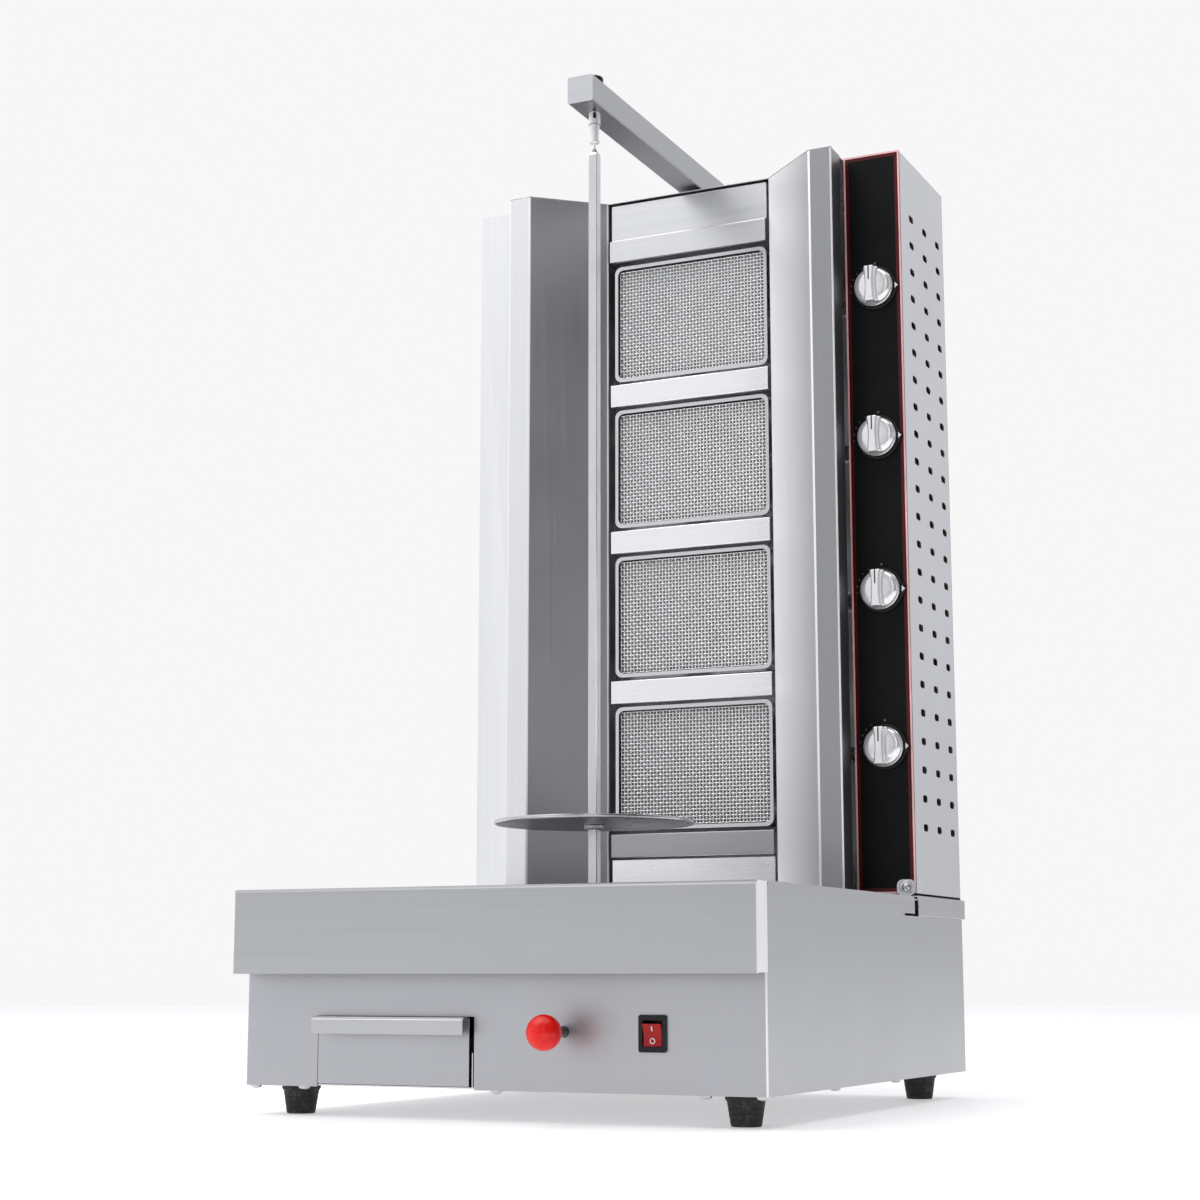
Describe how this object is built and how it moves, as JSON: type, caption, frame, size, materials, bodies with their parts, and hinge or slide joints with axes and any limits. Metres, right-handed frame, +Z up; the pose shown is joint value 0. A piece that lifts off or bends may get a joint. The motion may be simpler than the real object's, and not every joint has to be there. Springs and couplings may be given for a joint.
{
  "type": "rotisserie oven",
  "caption": "Free-standing vertical gas rotisserie oven: stainless cabinet, burner tower with wind wings, knob column, sliding motorised spit and drip drawer.",
  "frame": {"origin": "centre of the footprint on the floor, under the feet", "axes": "+X to the right seen from the front, +Y to the back, +Z up"},
  "size_m": [0.5474, 0.7052, 1.1005],
  "materials": {
    "sheet_steel": "brushed stainless sheet",
    "polished_steel": "polished stainless",
    "bracket_steel": "zinc-plated steel",
    "foot_rubber": "matte black rubber",
    "black_panel": "gloss black panel",
    "black_plastic": "black moulding",
    "chrome": "bright chrome plate",
    "blackened_steel": "blackened steel rod",
    "red_ball": "glossy red thermoset",
    "red_rocker": "translucent red",
    "burner_mesh": "woven wire",
    "burner_steel": "pressed stainless",
    "brass": "machined brass",
    "motor_paint": "dark grey enamel"
  },
  "bodies": {
    "base": {"cabinet_shell": "sheet_steel", "base_plate": "sheet_steel", "foot_fl": "foot_rubber", "foot_fr": "foot_rubber", "foot_rl": "foot_rubber", "foot_rr": "foot_rubber", "deck_plate": "sheet_steel", "drip_pan": "sheet_steel", "drain_spout": "sheet_steel", "front_apron": "sheet_steel", "carriage_track": "bracket_steel", "arm_mount": "sheet_steel", "wing_right": "sheet_steel", "wing_left": "sheet_steel", "side_box_left": "sheet_steel", "control_box": "sheet_steel", "control_panel": "black_panel", "tower_back": "sheet_steel", "tower_roof": "sheet_steel", "tower_belt": "sheet_steel", "header_panel": "sheet_steel", "lower_panel": "sheet_steel", "cross_bar_1": "sheet_steel", "cross_bar_2": "sheet_steel", "cross_bar_3": "sheet_steel", "cross_bar_4": "sheet_steel", "burner_1": "burner_steel", "burner_2": "burner_steel", "burner_3": "burner_steel", "burner_4": "burner_steel", "burner_mesh_1": "burner_mesh", "burner_mesh_2": "burner_mesh", "burner_mesh_3": "burner_mesh", "burner_mesh_4": "burner_mesh", "gas_rail": "brass", "gas_inlet": "brass", "knob_bezel_1": "black_plastic", "knob_bezel_2": "black_plastic", "knob_bezel_3": "black_plastic", "knob_bezel_4": "black_plastic", "switch_bezel": "black_plastic", "cable_gland": "black_plastic"},
    "drawer": {"drip_drawer": "sheet_steel"},
    "carriage": {"motor_carriage": "bracket_steel", "gear_motor": "motor_paint", "push_rod": "blackened_steel", "ball_knob": "red_ball"},
    "spit": {"spit_chuck": "polished_steel", "spit_rod": "polished_steel", "meat_plate": "polished_steel"},
    "arm": {"top_arm": "sheet_steel"},
    "pin": {"top_pin": "chrome", "pin_cap": "black_plastic"},
    "rocker": {"switch_rocker": "red_rocker"},
    "knob_1": {"knob_1": "chrome"},
    "knob_2": {"knob_2": "chrome"},
    "knob_3": {"knob_3": "chrome"},
    "knob_4": {"knob_4": "chrome"}
  },
  "joints": [
    {"name": "drawer_slide", "type": "slide", "parent": "base", "child": "drawer", "axis": [0, -1, 0], "range_m": [0, 0.2]},
    {"name": "carriage_slide", "type": "slide", "parent": "base", "child": "carriage", "axis": [0, -1, 0], "range_m": [-0.015, 0.08]},
    {"name": "arm_slide", "type": "slide", "parent": "base", "child": "arm", "axis": [0, -1, 0], "range_m": [-0.015, 0.08]},
    {"name": "spit_spin", "type": "hinge", "parent": "carriage", "child": "spit", "pos_m": [0, -0.079, 0.2], "axis": [0, 0, 1], "continuous": true},
    {"name": "pin_lift", "type": "slide", "parent": "arm", "child": "pin", "axis": [0, 0, 1], "range_m": [0, 0.015]},
    {"name": "rocker_tilt", "type": "hinge", "parent": "base", "child": "rocker", "pos_m": [0.16295, -0.291, 0.08145], "axis": [1, 0, 0], "range_deg": [-16, 0]},
    {"name": "knob_1_turn", "type": "hinge", "parent": "base", "child": "knob_1", "pos_m": [0.237, 0.15, 0.8965], "axis": [0, -1, 0], "range_deg": [0, 180]},
    {"name": "knob_2_turn", "type": "hinge", "parent": "base", "child": "knob_2", "pos_m": [0.237, 0.15, 0.7237], "axis": [0, -1, 0], "range_deg": [0, 180]},
    {"name": "knob_3_turn", "type": "hinge", "parent": "base", "child": "knob_3", "pos_m": [0.237, 0.15, 0.5509], "axis": [0, -1, 0], "range_deg": [0, 180]},
    {"name": "knob_4_turn", "type": "hinge", "parent": "base", "child": "knob_4", "pos_m": [0.237, 0.15, 0.3781], "axis": [0, -1, 0], "range_deg": [0, 180]}
  ],
  "couplings": [
    {"joint": "arm_slide", "follows": "carriage_slide", "ratio": 1}
  ]
}
